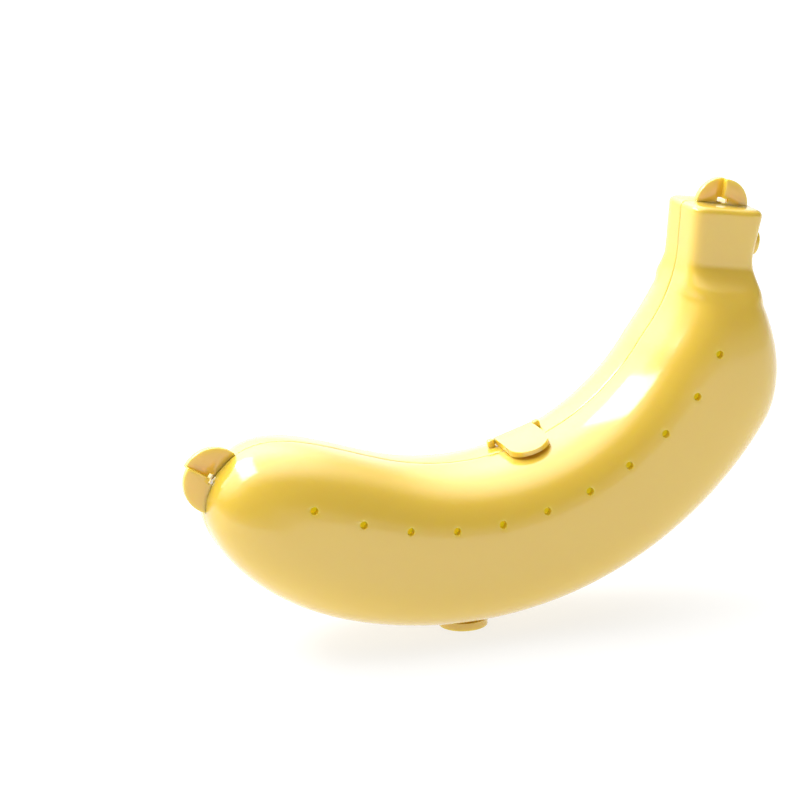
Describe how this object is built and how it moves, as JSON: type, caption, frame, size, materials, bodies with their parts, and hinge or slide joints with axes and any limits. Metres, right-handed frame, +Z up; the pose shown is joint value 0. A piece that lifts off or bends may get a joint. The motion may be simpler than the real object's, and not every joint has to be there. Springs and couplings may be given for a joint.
{
  "type": "banana carrying case",
  "caption": "Curved hard case in the shape of a banana: two vented half shells that snap together, half-round snap tongues round the rim and split pull ears at both ends",
  "frame": {"origin": "middle of the bounding box in X and Y, on the surface that the case stands on", "axes": "X runs from the blossom end to the stem, Y is square to the plane of the bend with -Y towards the viewer, Z is up"},
  "size_m": [0.1974, 0.0538, 0.1392],
  "materials": {
    "shell": "gloss",
    "tongue": "gloss"
  },
  "bodies": {
    "rear_half": {"rear_shell": "shell"},
    "front_half": {"front_shell": "shell"},
    "inner_clasp": {"inner_tongue": "tongue"},
    "foot_clasp": {"foot_tongue": "tongue"},
    "stem_clasp": {"stem_tongue": "tongue"}
  },
  "joints": [
    {"name": "front_pull", "type": "slide", "parent": "rear_half", "child": "front_half", "axis": [0, -1, 0], "range_m": [0, 0.07]},
    {"name": "inner_flap", "type": "hinge", "parent": "rear_half", "child": "inner_clasp", "pos_m": [0.01362, 0.0065, 0.05902], "axis": [-0.9547, 0, -0.2976], "range_deg": [0, 25], "stiffness_Nm_per_rad": 0.002},
    {"name": "foot_flap", "type": "hinge", "parent": "rear_half", "child": "foot_clasp", "pos_m": [-0.00729, 0.0065, 0.0013], "axis": [1, 0, 0], "range_deg": [0, 25], "stiffness_Nm_per_rad": 0.002},
    {"name": "stem_flap", "type": "hinge", "parent": "rear_half", "child": "stem_clasp", "pos_m": [0.09197, 0.0065, 0.11793], "axis": [0.2237, 0, 0.9747], "range_deg": [0, 25], "stiffness_Nm_per_rad": 0.002}
  ]
}
